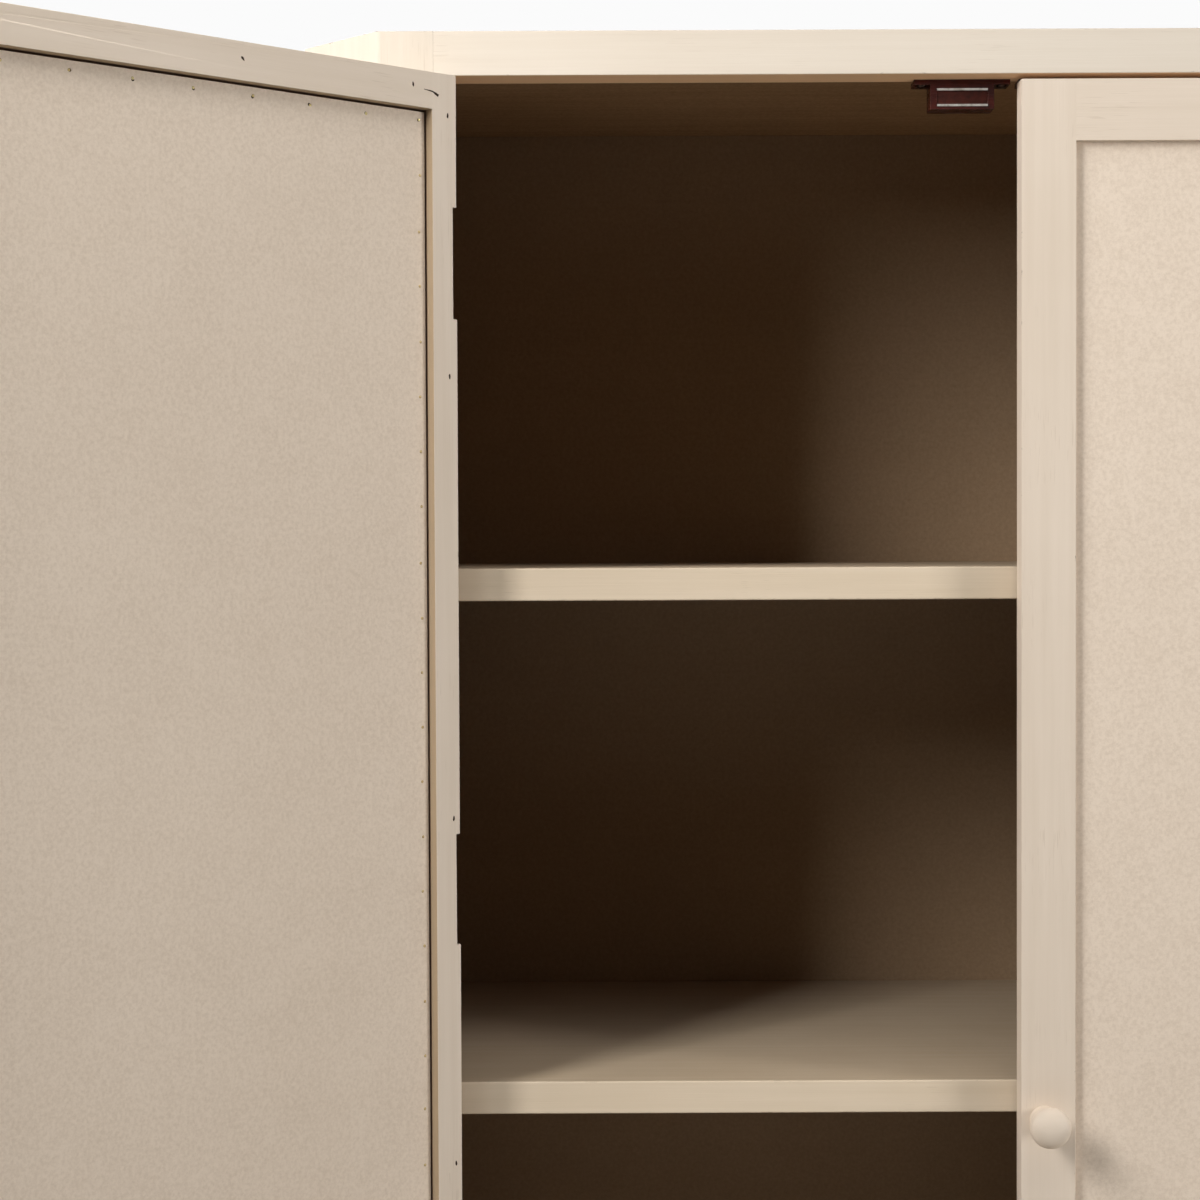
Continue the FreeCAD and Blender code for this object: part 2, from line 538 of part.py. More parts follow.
def door(name, hand, hung, height, hinges, knob_rise, paired):
    width = "Sizes.door_width"
    stile = ("Sizes.stile_width", height)
    stile_behind = (stile_reveal, height)
    rail_length = f"({width} - 2 * Sizes.stile_width)"
    rail = (rail_length, "Sizes.door_rail_width")
    rail_behind = (f"({width} - 2 * {stile_reveal})", rail_reveal)
    turn = no_turn if hand == left else upside_down

    screw_places = []
    for rise in hinges:
        for local in door_leaf_screws:
            screw_places.append(f"{spot('0', '0', rise, turn)} * {local}")
    strike_middle = f"({width} + Sizes.meeting_gap / 2 - Sizes.catch_offset)"
    strike_low = f"({height} - Sizes.strike_drop - Sizes.strike_height)"
    strike_back = f"({inner_face} + Sizes.strike_thickness)"
    for side in (-1, 1):
        along = f"({strike_middle} + {side} * Sizes.strike_screw_spacing / 2)"
        screw_places.append(spot(across(hand, along), strike_back,
                                 f"{strike_low} + Sizes.strike_height / 2", towards_back))
    screw_links = copies(f"{name}_screw", screw, screw_places)
    screw_holes = group(f"{name}_screw_holes", screw_links)

    hinge_stile_blank = rabbeted(f"{name}_hinge_stile", hand, "0", "0", stile, stile_behind, "0", "0")
    mortises = []
    mortise_height = "(Sizes.hinge_length + 2 * Sizes.mortise_clearance)"
    for number, rise in enumerate(hinges, 1):
        mortises.append(box(f"{name}_mortise_{number}", across(hand, "0", "Sizes.mortise_depth"),
                            door_front, f"{rise} - {mortise_height} / 2",
                            "Sizes.mortise_depth", "Sizes.door_thickness", mortise_height))
    mortised = cut(f"{name}_mortised", hinge_stile_blank, group(f"{name}_mortises", mortises))
    hinge_stile = cut(f"{name}_hinge_stile", mortised, screw_holes)

    far_stile = f"({width} - Sizes.stile_width)"
    far_behind = f"({width} - {stile_reveal})"
    meeting_blank = rabbeted(f"{name}_meeting_stile", hand, far_stile, "0", stile, stile_behind,
                             far_behind, "0")
    knob_along = f"({width} - Sizes.knob_inset)"
    knob_spot = spot(across(hand, knob_along), door_front, knob_rise, towards_front)
    spigot_end = spot("0", "0", "-Sizes.spigot_length")
    spigot_hole = rod(f"{name}_spigot_hole", "Sizes.spigot_radius", "Sizes.spigot_length",
                      f"{knob_spot} * {spigot_end}")
    drilled = cut(f"{name}_drilled", meeting_blank, spigot_hole)
    meeting_stile = cut(f"{name}_meeting_stile", drilled, screw_holes)

    rail_low = f"({height} - Sizes.door_rail_width)"
    rail_behind_low = f"({height} - {rail_reveal})"
    top_blank = rabbeted(f"{name}_top_rail", hand, "Sizes.stile_width", rail_low, rail, rail_behind,
                         stile_reveal, rail_behind_low)
    top_rail = cut(f"{name}_top_rail", top_blank, screw_holes)
    bottom_rail = rabbeted(f"{name}_bottom_rail", hand, "Sizes.stile_width", "0", rail, rail_behind,
                           stile_reveal, "0")
    if paired:
        wood = [(f"{name}_stiles", group(f"{name}_stiles", [hinge_stile, meeting_stile])),
                (f"{name}_rails", group(f"{name}_rails", [top_rail, bottom_rail]))]
    else:
        wood = [(f"{name}_hinge_stile", hinge_stile), (f"{name}_meeting_stile", meeting_stile),
                (f"{name}_top_rail", top_rail), (f"{name}_bottom_rail", bottom_rail)]
    for label, piece in wood:
        place(piece, hung)
        keep(piece, label)

    panel_along = f"({stile_reveal} + Sizes.panel_gap)"
    panel_width = f"({width} - 2 * {panel_along})"
    panel_low = f"({rail_reveal} + Sizes.panel_gap)"
    panel = box(f"{name}_panel", "0", "0", "0", panel_width, "Sizes.panel_thickness",
                f"{height} - 2 * {panel_low}")
    place(panel, f"{hung} * {spot(across(hand, panel_along, panel_width), seat_plane, panel_low)}")
    keep(panel, f"{name}_panel")

    strike_length = "(Sizes.strike_screw_spacing + 2 * Sizes.strike_margin)"
    strike_left = across(hand, f"({strike_middle} - {strike_length} / 2)", strike_length)
    strike_blank = box(f"{name}_strike_blank", strike_left, inner_face, strike_low,
                       strike_length, "Sizes.strike_thickness", "Sizes.strike_height")
    strike = cut(f"{name}_strike_plate", strike_blank, screw_holes)
    leaves = group(f"{name}_hinge_leaves",
                   copies(f"{name}_leaf", door_leaf, [spot("0", "0", rise, turn) for rise in hinges]))
    screws = group(f"{name}_screws", screw_links)
    for label, piece in (("strike_plate", strike), ("hinge_leaves", leaves), ("screws", screws)):
        place(piece, hung)
        keep(piece, f"{name}_{label}")

    head = doc.addObject("Part::Ellipsoid", f"{name}_knob_head")
    bind(head, Radius1="Sizes.knob_head_thickness / 2", Radius2="Sizes.knob_radius")
    bind(head, Radius3="Sizes.knob_radius")
    head_middle = "(Sizes.knob_projection - Sizes.knob_head_thickness / 2)"
    place(head, spot("0", "0", head_middle))
    neck = doc.addObject("Part::Cone", f"{name}_knob_neck")
    bind(neck, Radius1="Sizes.knob_foot_radius", Radius2="Sizes.knob_neck_radius", Height=head_middle)
    spigot = rod(f"{name}_knob_spigot", "Sizes.spigot_radius", "Sizes.spigot_length", spigot_end)
    knob = join(f"{name}_knob", [head, neck, spigot])
    place(knob, f"{hung} * {knob_spot}")
    keep(knob, f"{name}_knob")


def hang(hand, front, bottom, opening):
    turn = f"rotation(vector(0; 0; 1); {-hand} * {opening})"
    return spot(pin_x(hand), f"{front} - Sizes.pin_stand", bottom, turn)


upper_left = hang(left, upper_front, upper_door_bottom, "Sizes.rest_opening")
upper_right = hang(right, upper_front, upper_door_bottom, "0")
lower_left = hang(left, lower_front, lower_door_bottom, "0")
lower_right = hang(right, lower_front, lower_door_bottom, "0")
upper_door = (upper_door_height, upper_hinges, "Sizes.upper_knob_rise", False)
lower_door = (lower_door_height, lower_hinges, "Sizes.lower_knob_rise", True)
door("upper_left_door", left, upper_left, *upper_door)
door("upper_right_door", right, upper_right, *upper_door)
door("lower_left_door", left, lower_left, *lower_door)
door("lower_right_door", right, lower_right, *lower_door)

doc.recompute()
for item in doc.Objects:
    if "Invalid" in item.State or "Error" in item.State:
        raise RuntimeError(f"{item.Label} did not rebuild: {item.State}")
for node in nodes:
    if node.Shape.isNull() or not node.Shape.isValid() or not node.Shape.Solids:
        raise RuntimeError(f"{node.Label} has no valid solid")

os.makedirs("parts", exist_ok=True)
for node in nodes:
    node.Shape.exportStep(f"parts/{node.Label}.step")
    print(node.Label, len(node.Shape.Solids), "solids", round(node.Shape.Volume / 1000, 2), "cm3")
print(len(nodes), "nodes")
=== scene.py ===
import json
import math
import random

import bmesh
import bpy
from mathutils import Matrix, Vector


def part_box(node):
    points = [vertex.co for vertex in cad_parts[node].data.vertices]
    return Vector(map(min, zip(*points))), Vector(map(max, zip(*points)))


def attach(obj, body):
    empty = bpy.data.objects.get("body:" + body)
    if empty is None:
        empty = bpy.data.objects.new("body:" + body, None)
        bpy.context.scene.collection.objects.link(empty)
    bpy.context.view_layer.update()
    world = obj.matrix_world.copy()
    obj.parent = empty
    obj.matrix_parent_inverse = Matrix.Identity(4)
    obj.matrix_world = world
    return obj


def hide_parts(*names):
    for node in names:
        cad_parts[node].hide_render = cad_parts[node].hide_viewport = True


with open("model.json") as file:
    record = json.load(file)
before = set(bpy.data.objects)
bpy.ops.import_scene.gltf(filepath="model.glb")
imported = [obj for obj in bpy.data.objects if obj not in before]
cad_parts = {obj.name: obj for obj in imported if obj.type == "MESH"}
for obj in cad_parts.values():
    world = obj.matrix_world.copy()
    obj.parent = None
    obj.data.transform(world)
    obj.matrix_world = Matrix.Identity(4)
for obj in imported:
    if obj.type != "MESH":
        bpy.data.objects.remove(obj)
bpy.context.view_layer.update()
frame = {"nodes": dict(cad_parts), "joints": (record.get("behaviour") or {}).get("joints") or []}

nodes = frame["nodes"]
doors = {joint["child"]: joint for joint in frame["joints"]}  # every joint is a door on its hinge pins
mm = 0.001
print("frame loaded:", len(nodes), "nodes,", len(doors), "doors")


# Small helpers for node trees

def srgb(red, green, blue):  # a colour as it reads on screen, 0 to 255, as linear light
    def channel(value):
        value /= 255
        return value / 12.92 if value <= 0.04045 else ((value + 0.055) / 1.055) ** 2.4
    return (channel(red), channel(green), channel(blue), 1)


def addNode(tree, kind, values=None, links=None, **settings):
    node = tree.nodes.new(kind)
    for key, value in settings.items():
        setattr(node, key, value)
    for socket, value in (values or {}).items():
        node.inputs[socket].default_value = value
    for socket, source in (links or {}).items():
        tree.links.new(source, node.inputs[socket])
    return node


def calc(tree, operation, first, second=None, clamp=False):  # one math node, from sockets or plain numbers
    node = tree.nodes.new("ShaderNodeMath")
    node.operation = operation
    node.use_clamp = clamp
    for place, source in enumerate((first, second)):
        if isinstance(source, (int, float)):
            node.inputs[place].default_value = source
        elif source is not None:
            tree.links.new(source, node.inputs[place])
    return node.outputs[0]


def ramp(tree, source, low, high, toLow=0.0, toHigh=1.0):  # low..high of a value, spread over toLow..toHigh
    node = addNode(tree, "ShaderNodeMapRange", {1: low, 2: high, 3: toLow, 4: toHigh}, {0: source})
    node.clamp = True
    return node.outputs[0]


def mixColour(tree, factor, first, second):  # colours as sockets or plain values
    node = tree.nodes.new("ShaderNodeMix")
    node.data_type = "RGBA"
    for place, source in ((0, factor), (6, first), (7, second)):
        if isinstance(source, (int, float, tuple)):
            node.inputs[place].default_value = source
        else:
            tree.links.new(source, node.inputs[place])
    return node.outputs[2]


def noise(tree, vector, scale, detail=2.0, roughness=0.5):
    return addNode(tree, "ShaderNodeTexNoise", {"Scale": scale, "Detail": detail, "Roughness": roughness},
                   {"Vector": vector}).outputs[0]


def newGroup(name, inputs, outputs):
    group = bpy.data.node_groups.new(name, "ShaderNodeTree")
    for label, kind, value in inputs:
        group.interface.new_socket(label, in_out="INPUT", socket_type=kind).default_value = value
    for label in outputs:
        group.interface.new_socket(label, in_out="OUTPUT", socket_type="NodeSocketFloat")
    return group, addNode(group, "NodeGroupInput").outputs, addNode(group, "NodeGroupOutput").inputs


def placeGroup(tree, group, values, vector):
    return addNode(tree, "ShaderNodeGroup", values, {"Vector": vector}, node_tree=group).outputs


# Effects that several finishes share

brushFinish = {"strokePitch": 0.9 * mm, "strokeLength": 45 * mm, "strokeHeight": 0.55,
               "grainPitch": 5 * mm, "grainLength": 180 * mm, "grainHeight": 0.45,
               "porePitch": 0.55 * mm, "poreLength": 14 * mm, "poreDepth": 0.3, "poreEdge": (0.70, 0.76),
               "thinScale": 22.0, "thinEdge": (0.52, 0.66)}  # pores show only where the paint is thin


def makeBrushMarks():  # strokes and faint wood grain under paint, along one direction
    group, given, out = newGroup(
        "brush marks",
        [("Vector", "NodeSocketVector", (0, 0, 0)), ("Turn", "NodeSocketVector", (0, 0, 0))],
        ["Height", "Tone", "Pores"])
    turned = addNode(group, "ShaderNodeMapping", links={"Vector": given["Vector"], "Rotation": given["Turn"]})

    def streaks(length, pitch, detail):
        scale = (1 / length, 1 / pitch, 1 / pitch)
        drawn = addNode(group, "ShaderNodeMapping", {"Scale": scale}, {"Vector": turned.outputs[0]})
        return noise(group, drawn.outputs[0], 1.0, detail)

    strokes = streaks(brushFinish["strokeLength"], brushFinish["strokePitch"], 1.0)
    grain = streaks(brushFinish["grainLength"], brushFinish["grainPitch"], 3.0)
    pores = streaks(brushFinish["poreLength"], brushFinish["porePitch"], 0.0)
    thin = ramp(group, noise(group, given["Vector"], brushFinish["thinScale"]), *brushFinish["thinEdge"])
    poreMask = calc(group, "MULTIPLY", ramp(group, pores, *brushFinish["poreEdge"]), thin)
    height = calc(group, "ADD", calc(group, "MULTIPLY", strokes, brushFinish["strokeHeight"]),
                  calc(group, "MULTIPLY", grain, brushFinish["grainHeight"]))
    sunk = calc(group, "MULTIPLY", poreMask, brushFinish["poreDepth"])
    group.links.new(calc(group, "SUBTRACT", height, sunk), out["Height"])
    group.links.new(grain, out["Tone"])
    group.links.new(poreMask, out["Pores"])
    return group


edgeMarkLook = {"radius": 1.5 * mm, "amount": 0.3, "samples": 6, "turned": (0.985, 0.86), "patchScale": 95.0,
            "patchDetail": 4.0, "patchRoughness": 0.65, "limit": 0.78, "reach": 0.4, "sharpness": 14.0}


def makeEdgeWearAndSheen():  # where paint has gone from an arris, and on the catch where a painted highlight lies along its edges
    group, given, out = newGroup(
        "edge chips",
        [("Vector", "NodeSocketVector", (0, 0, 0)), ("Radius", "NodeSocketFloat", edgeMarkLook["radius"]),
         ("Amount", "NodeSocketFloat", edgeMarkLook["amount"])],
        ["Mask"])
    softened = addNode(group, "ShaderNodeBevel", links={"Radius": given["Radius"]},
                       samples=edgeMarkLook["samples"])
    plain = addNode(group, "ShaderNodeNewGeometry")
    turn = addNode(group, "ShaderNodeVectorMath", operation="DOT_PRODUCT")
    group.links.new(softened.outputs[0], turn.inputs[0])
    group.links.new(plain.outputs["Normal"], turn.inputs[1])
    edge = ramp(group, turn.outputs["Value"], *edgeMarkLook["turned"])
    patches = noise(group, given["Vector"], edgeMarkLook["patchScale"], edgeMarkLook["patchDetail"],
                    edgeMarkLook["patchRoughness"])
    reach = calc(group, "MULTIPLY", given["Amount"], edgeMarkLook["reach"])
    above = calc(group, "SUBTRACT", patches, calc(group, "SUBTRACT", edgeMarkLook["limit"], reach))
    chips = calc(group, "MULTIPLY", above, edgeMarkLook["sharpness"], clamp=True)
    group.links.new(calc(group, "MULTIPLY", edge, chips), out["Mask"])
    return group


fibreFace = {"size": 2.2 * mm, "fineDetail": 3.0, "fineRoughness": 0.7, "fineHeight": 0.7, "fibreHeight": 0.3,
             "blotchScale": 34.0, "blotchDetail": 3.0, "blotchRoughness": 0.6, "blotchTone": 0.15,
             "fineTone": 0.85, "stainScale": 4.5}


def makeBoardFleck():  # the mottled face of pressed fibre board
    group, given, out = newGroup(
        "board fleck",
        [("Vector", "NodeSocketVector", (0, 0, 0)), ("Size", "NodeSocketFloat", fibreFace["size"])],
        ["Height", "Tone", "Stain"])
    scale = calc(group, "DIVIDE", 1.0, given["Size"])
    fine = addNode(group, "ShaderNodeTexNoise",
                   {"Detail": fibreFace["fineDetail"], "Roughness": fibreFace["fineRoughness"]},
                   {"Vector": given["Vector"], "Scale": scale}).outputs[0]
    fibre = addNode(group, "ShaderNodeTexVoronoi", {"Randomness": 1.0},
                    {"Vector": given["Vector"], "Scale": scale}, feature="SMOOTH_F1").outputs["Distance"]
    blotch = noise(group, given["Vector"], fibreFace["blotchScale"], fibreFace["blotchDetail"],
                   fibreFace["blotchRoughness"])
    height = calc(group, "ADD", calc(group, "MULTIPLY", fine, fibreFace["fineHeight"]),
                  calc(group, "MULTIPLY", fibre, fibreFace["fibreHeight"]))
    tone = calc(group, "ADD", calc(group, "MULTIPLY", fine, fibreFace["fineTone"]),
                calc(group, "MULTIPLY", blotch, fibreFace["blotchTone"]))
    group.links.new(height, out["Height"])
    group.links.new(tone, out["Tone"])
    group.links.new(noise(group, given["Vector"], fibreFace["stainScale"]), out["Stain"])
    return group


scuffMarks = {"size": 1.2 * mm, "squeeze": (0.12, 1.0, 1.0), "edge": (0.45, 0.75), "spotScale": 0.3}


def makeScuffs():  # fine scratches and dull spots on metal and plastic
    group, given, out = newGroup(
        "scuffs",
        [("Vector", "NodeSocketVector", (0, 0, 0)), ("Size", "NodeSocketFloat", scuffMarks["size"])],
        ["Mask", "Tone"])
    scale = calc(group, "DIVIDE", 1.0, given["Size"])
    drawn = addNode(group, "ShaderNodeMapping", {"Scale": scuffMarks["squeeze"]}, {"Vector": given["Vector"]})
    scratch = addNode(group, "ShaderNodeTexNoise", {"Detail": 2.0},
                      {"Vector": drawn.outputs[0], "Scale": scale}).outputs[0]
    wide = calc(group, "MULTIPLY", scale, scuffMarks["spotScale"])
    spots = addNode(group, "ShaderNodeTexNoise", {"Detail": 4.0},
                    {"Vector": given["Vector"], "Scale": wide}).outputs[0]
    group.links.new(ramp(group, scratch, *scuffMarks["edge"]), out["Mask"])
    group.links.new(spots, out["Tone"])
    return group


def makeBoxMask():  # 1 inside a box that stands square in the turned frame
    group, given, out = newGroup(
        "box mask",
        [("Vector", "NodeSocketVector", (0, 0, 0)), ("Turn", "NodeSocketVector", (0, 0, 0)),
         ("Centre", "NodeSocketVector", (0, 0, 0)), ("Half", "NodeSocketVector", (1, 1, 1))],
        ["Mask"])
    turned = addNode(group, "ShaderNodeMapping", links={"Vector": given["Vector"], "Rotation": given["Turn"]})
    moved = addNode(group, "ShaderNodeVectorMath", links={0: turned.outputs[0], 1: given["Centre"]},
                    operation="SUBTRACT")
    spread = addNode(group, "ShaderNodeVectorMath", links={0: moved.outputs[0]}, operation="ABSOLUTE")
    share = addNode(group, "ShaderNodeVectorMath", links={0: spread.outputs[0], 1: given["Half"]},
                    operation="DIVIDE")
    split = addNode(group, "ShaderNodeSeparateXYZ", links={0: share.outputs[0]}).outputs
    widest = calc(group, "MAXIMUM", calc(group, "MAXIMUM", split[0], split[1]), split[2])
    group.links.new(calc(group, "LESS_THAN", widest, 1.0), out["Mask"])
    return group


brushMarks = makeBrushMarks()
edgeWearAndSheen = makeEdgeWearAndSheen()
boardFleck = makeBoardFleck()
scuffs = makeScuffs()
boxMask = makeBoxMask()
print("shared effects made")


# Each door in its shut place: the turn that shuts it, and the box of its panel then

panelSeat = {"gap": 1.2 * mm, "recess": 6.0 * mm, "beside": 0.3 * mm, "behind": 0.2 * mm, "through": 1 * mm}


def shutDoor(door):
    turn = math.radians(doors[door]["range_deg"][0]) * doors[door]["axis"][2]
    spin = Matrix.Rotation(turn, 3, "Z")
    places = [spin @ corner.co for corner in nodes[door + "_panel"].data.vertices]
    low = Vector([min(place[axis] for place in places) for axis in range(3)])
    high = Vector([max(place[axis] for place in places) for axis in range(3)])
    return {"turn": turn, "spin": spin, "low": low, "high": high}


shut = {door: shutDoor(door) for door in doors}


def doorBox(door, low, high):  # a box in the shut door's frame, as the box mask takes it
    return {"Turn": (0, 0, shut[door]["turn"]), "Centre": (low + high) / 2, "Half": (high - low) / 2}


def panelBox(door, grow):  # the panel with its edges moved out, or in where grow is negative
    edge = Vector((grow, panelSeat["through"], grow))
    return doorBox(door, shut[door]["low"] - edge, shut[door]["high"] + edge)


def seatEdge():  # how far the masks of the gap and the step reach past the panel
    beside = panelSeat["gap"] + panelSeat["beside"]
    return Vector((beside, panelSeat["behind"], beside))


def gapBox(door):  # the gap round the panel, from its seat up to the panel's inner face
    return doorBox(door, shut[door]["low"] - seatEdge(), shut[door]["high"] + seatEdge())


def rabbetBox(door):  # the step in front of the panel's inner face
    low, high = shut[door]["low"].copy(), shut[door]["high"].copy()
    low.y = high.y
    high.y += panelSeat["recess"] - panelSeat["beside"]
    return doorBox(door, low - seatEdge(), high + seatEdge())


# Finishes

def newFinish(name):
    material = bpy.data.materials.new(name)
    material.use_nodes = True
    tree = material.node_tree
    shader = tree.nodes["Principled BSDF"]
    place = addNode(tree, "ShaderNodeTexCoord").outputs["Object"]
    return material, tree, shader, place


def addBump(tree, shader, height, distance, strength):
    bump = addNode(tree, "ShaderNodeBump", {"Strength": strength, "Distance": distance}, {"Height": height})
    tree.links.new(bump.outputs[0], shader.inputs["Normal"])


def setRoughness(tree, shader, source, span, roughness, duller):  # rougher by duller over a span of source
    tree.links.new(ramp(tree, source, *span, roughness, roughness + duller), shader.inputs["Roughness"])


creamPaint = {"coat": srgb(224, 208, 190), "thin": srgb(213, 196, 176), "pore": srgb(150, 122, 92),
              "chip": srgb(104, 76, 50), "trodden": srgb(184, 162, 134), "rabbet": srgb(160, 136, 104),
              "dirt": srgb(104, 77, 57), "bareWood": srgb(112, 80, 54), "aged": srgb(248, 206, 162),
              "shelfCoat": srgb(222, 204, 180), "shelfThin": srgb(208, 189, 162),
              "caseCoat": srgb(222, 210, 194), "caseThin": srgb(212, 198, 180), "cloudScale": 7.0,
              "cloudDetail": 3.0, "cloudSpan": (0.35, 0.7), "cloudShare": 0.45, "grainShare": 0.4,
              "treadScale": 11.0, "treadDetail": 4.0, "treadRoughness": 0.6, "leastTread": 0.75,
              "pores": 0.16, "stepShare": 0.85, "roughness": 0.52, "duller": 0.16, "specular": 0.3,
              "bump": 0.35 * mm, "bumpStrength": 0.3}
middling = (0.3, 0.7)  # the part of a noise that is spread over its whole range
facing = {"up": (0.8, 0.99), "down": (-0.8, -0.95), "back": (0.8, 0.95), "inward": (-0.15, -0.3)}


def makeCreamPaint(name, turn, chips=0.35, trodden=0.0, door=None, below=None):
    material, tree, shader, place = newFinish(name)
    marks = placeGroup(tree, brushMarks, {"Turn": turn}, place)
    edgeMask = placeGroup(tree, edgeWearAndSheen, {"Amount": chips}, place)
    cloud = noise(tree, place, creamPaint["cloudScale"], creamPaint["cloudDetail"])
    cloud = ramp(tree, cloud, *creamPaint["cloudSpan"], 0.0, creamPaint["cloudShare"])
    tone = calc(tree, "ADD", cloud, ramp(tree, marks["Tone"], *middling, 0.0, creamPaint["grainShare"]))
    coat, thin = "coat", "thin"
    if below:
        coat, thin = ("shelfCoat", "shelfThin") if trodden else ("caseCoat", "caseThin")
    colour = mixColour(tree, tone, creamPaint[coat], creamPaint[thin])
    pores = calc(tree, "MULTIPLY", marks["Pores"], creamPaint["pores"])
    colour = mixColour(tree, pores, colour, creamPaint["pore"])
    faces = addNode(tree, "ShaderNodeNewGeometry").outputs["Normal"]
    faceX, faceY, upward = addNode(tree, "ShaderNodeSeparateXYZ", links={0: faces}).outputs
    if trodden:  # faces that look up are painted darker in patches: painted shade from the shelf above
        topShadePatches = noise(tree, place, creamPaint["treadScale"], creamPaint["treadDetail"],
                      creamPaint["treadRoughness"])
        patchy = ramp(tree, topShadePatches, *middling, creamPaint["leastTread"] * trodden, trodden)
        patchy = calc(tree, "MULTIPLY", ramp(tree, upward, *facing["up"]), patchy)
        colour = mixColour(tree, patchy, colour, creamPaint["trodden"])
    if door:  # the step that holds the panel is painted a darker brown, partly bare wood and partly painted shade, and the gap round the panel is painted dark as painted shade
        step = placeGroup(tree, boxMask, rabbetBox(door), place)
        gap = placeGroup(tree, boxMask, gapBox(door), place)
        bare = calc(tree, "MULTIPLY", step["Mask"], creamPaint["stepShare"])
        colour = mixColour(tree, bare, colour, creamPaint["rabbet"])
        colour = mixColour(tree, gap["Mask"], colour, creamPaint["dirt"])
    if below:  # the case is bare wood on what looks back or in from a side, painted dark to stand in for the shade inside; faces that look down take the colour that below names: that dark wood as painted shade, or a pale warm tint that paints light bounced up from the brown inside
        across = addNode(tree, "ShaderNodeSeparateXYZ", links={0: place}).outputs[0]
        inside = ramp(tree, calc(tree, "MULTIPLY", faceX, across), *facing["inward"])
        inside = calc(tree, "MAXIMUM", inside, ramp(tree, faceY, *facing["back"]))
        woodInShade = mixColour(tree, marks["Tone"], creamPaint["bareWood"], creamPaint["chip"])
        colour = mixColour(tree, inside, colour, woodInShade)
        colour = mixColour(tree, ramp(tree, upward, *facing["down"]), colour, creamPaint[below])
    colour = mixColour(tree, edgeMask["Mask"], colour, creamPaint["chip"])
    tree.links.new(colour, shader.inputs["Base Color"])
    setRoughness(tree, shader, marks["Tone"], middling, creamPaint["roughness"], creamPaint["duller"])
    shader.inputs["Specular IOR Level"].default_value = creamPaint["specular"]
    addBump(tree, shader, marks["Height"], creamPaint["bump"], creamPaint["bumpStrength"])
    return material


panelPaint = {"coat": srgb(230, 213, 194), "fleck": srgb(194, 173, 151), "fleckSize": 2.1 * mm,
              "fleckSpan": (0.40, 0.66), "fleckShare": 0.36, "cloudSpan": (0.3, 0.75), "cloudShare": 0.12,
              "dirtyEdge": 0.05 * mm, "roughness": 0.62, "duller": 0.14, "specular": 0.22,
              "bump": 0.25 * mm, "bumpStrength": 0.3}


def makePanelPaint(door):
    material, tree, shader, place = newFinish("thin paint on fibre board " + door)
    fleck = placeGroup(tree, boardFleck, {"Size": panelPaint["fleckSize"]}, place)
    tone = ramp(tree, fleck["Tone"], *panelPaint["fleckSpan"], 0.0, panelPaint["fleckShare"])
    cloud = ramp(tree, fleck["Stain"], *panelPaint["cloudSpan"], 0.0, panelPaint["cloudShare"])
    colour = mixColour(tree, calc(tree, "ADD", tone, cloud), panelPaint["coat"], panelPaint["fleck"])
    # the panel's edges down in the gap are painted dark: painted shade
    unshaded = placeGroup(tree, boxMask, panelBox(door, -panelPaint["dirtyEdge"]), place)
    colour = mixColour(tree, unshaded["Mask"], creamPaint["dirt"], colour)
    tree.links.new(colour, shader.inputs["Base Color"])
    setRoughness(tree, shader, fleck["Tone"], middling, panelPaint["roughness"], panelPaint["duller"])
    shader.inputs["Specular IOR Level"].default_value = panelPaint["specular"]
    addBump(tree, shader, fleck["Height"], panelPaint["bump"], panelPaint["bumpStrength"])
    return material


bareBoard = {"back": (srgb(174, 148, 119), srgb(151, 125, 98)), "backGrain": 0.07,
             "top": (srgb(186, 153, 116), srgb(154, 122, 88)), "topGrain": 0.3,
             "fleckSize": 2.6 * mm, "fleckShare": 0.6, "span": (0.35, 0.68), "roughness": 0.8,
             "duller": 0.1, "specular": 0.08, "bump": 0.3 * mm, "bumpStrength": 0.35}


def makeBareBoard(name, shades, grain):
    material, tree, shader, place = newFinish(name)
    fleck = placeGroup(tree, boardFleck, {"Size": bareBoard["fleckSize"]}, place)
    marks = placeGroup(tree, brushMarks, {}, place)
    tone = calc(tree, "ADD", ramp(tree, fleck["Tone"], *bareBoard["span"], 0.0, bareBoard["fleckShare"]),
                ramp(tree, marks["Tone"], *bareBoard["span"], 0.0, grain))
    tree.links.new(mixColour(tree, tone, shades[0], shades[1]), shader.inputs["Base Color"])
    setRoughness(tree, shader, fleck["Tone"], middling, bareBoard["roughness"], bareBoard["duller"])
    shader.inputs["Specular IOR Level"].default_value = bareBoard["specular"]
    addBump(tree, shader, fleck["Height"], bareBoard["bump"], bareBoard["bumpStrength"])
    return material


metalLook = {"spots": (0.4, 0.68), "duller": 0.2, "bump": 0.05 * mm, "bumpStrength": 0.25,
             "plainSpecular": 0.15}  # for the dull things that are made the same way, but are not metal


def makeMetal(name, colour, dull, roughness, size=scuffMarks["size"]):
    material, tree, shader, place = newFinish(name)
    marks = placeGroup(tree, scuffs, {"Size": size}, place)
    spots = ramp(tree, marks["Tone"], *metalLook["spots"])
    tree.links.new(mixColour(tree, spots, colour, dull), shader.inputs["Base Color"])
    setRoughness(tree, shader, marks["Mask"], (0.0, 1.0), roughness, metalLook["duller"])
    shader.inputs["Metallic"].default_value = 1.0
    addBump(tree, shader, marks["Mask"], metalLook["bump"], metalLook["bumpStrength"])
    return material


catchPlastic = {"colour": srgb(68, 24, 17), "dull": srgb(48, 18, 13), "wornEdge": srgb(176, 132, 120),
                "wornShare": 0.5, "wornAmount": 1.2, "wornRadius": 0.5 * mm, "scuffSize": 1.6 * mm,
                "spots": (0.35, 0.7), "roughness": 0.22, "duller": 0.2, "specular": 0.12, "bump": 0.08 * mm,
                "bumpStrength": 0.2}


